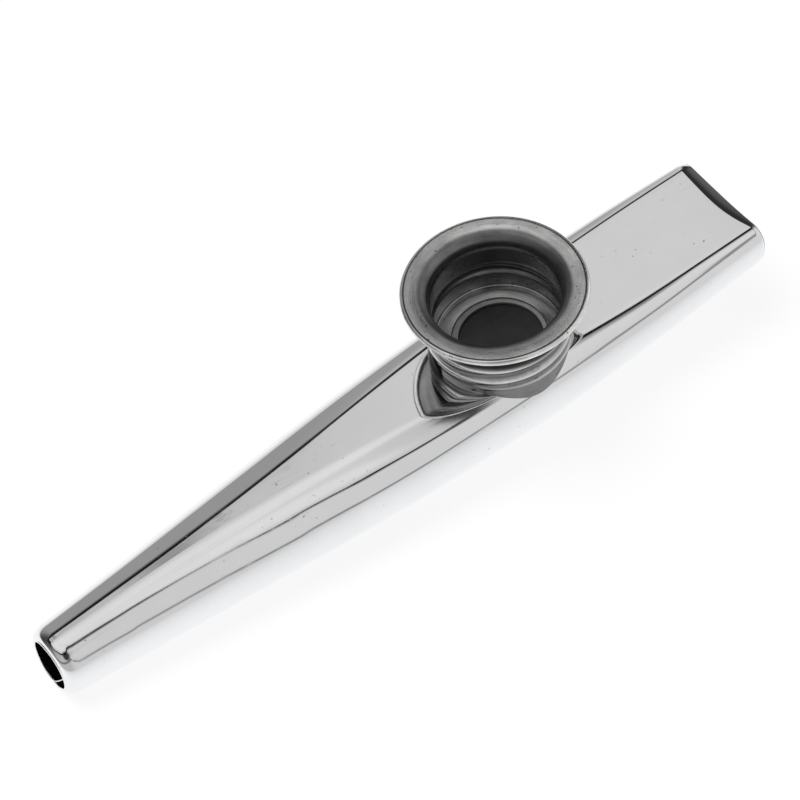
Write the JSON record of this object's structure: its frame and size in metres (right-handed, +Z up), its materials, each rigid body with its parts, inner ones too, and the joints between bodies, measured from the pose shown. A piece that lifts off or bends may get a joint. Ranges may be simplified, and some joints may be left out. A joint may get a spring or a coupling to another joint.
{
  "type": "kazoo",
  "caption": "Metal kazoo: a flattened tapering tube with a wide mouth, a narrow outlet and a threaded turret whose flared screw cap holds down a buzzing film.",
  "frame": {"origin": "bottom centre of the bounding box: on the plane the body rests on, below the middle of its length", "axes": "+X along the body towards the wide mouth, +Y to the left seen from the narrow end, +Z up along the turret axis"},
  "size_m": [0.12, 0.0272, 0.0263],
  "materials": {
    "body_metal": "polished, with fine rub marks",
    "cap_metal": "concentric brushed rim, polished inside",
    "ring_plastic": "satin",
    "film": "smooth thin film"
  },
  "bodies": {
    "body": {"body_shell": "body_metal", "turret_collar": "cap_metal", "membrane": "film"},
    "ring": {"pressure_ring": "ring_plastic"},
    "cap": {"screw_cap": "cap_metal"}
  },
  "joints": [
    {"name": "cap_lift", "type": "slide", "parent": "body", "child": "ring", "axis": [0, 0, 1], "range_m": [0, 0.0047]},
    {"name": "cap_turn", "type": "hinge", "parent": "ring", "child": "cap", "pos_m": [0.01932, 0, 0.0158], "axis": [0, 0, 1], "range_deg": [0, 720]}
  ],
  "couplings": [
    {"joint": "cap_turn", "follows": "cap_lift", "rad_per_m": 2673.7}
  ]
}
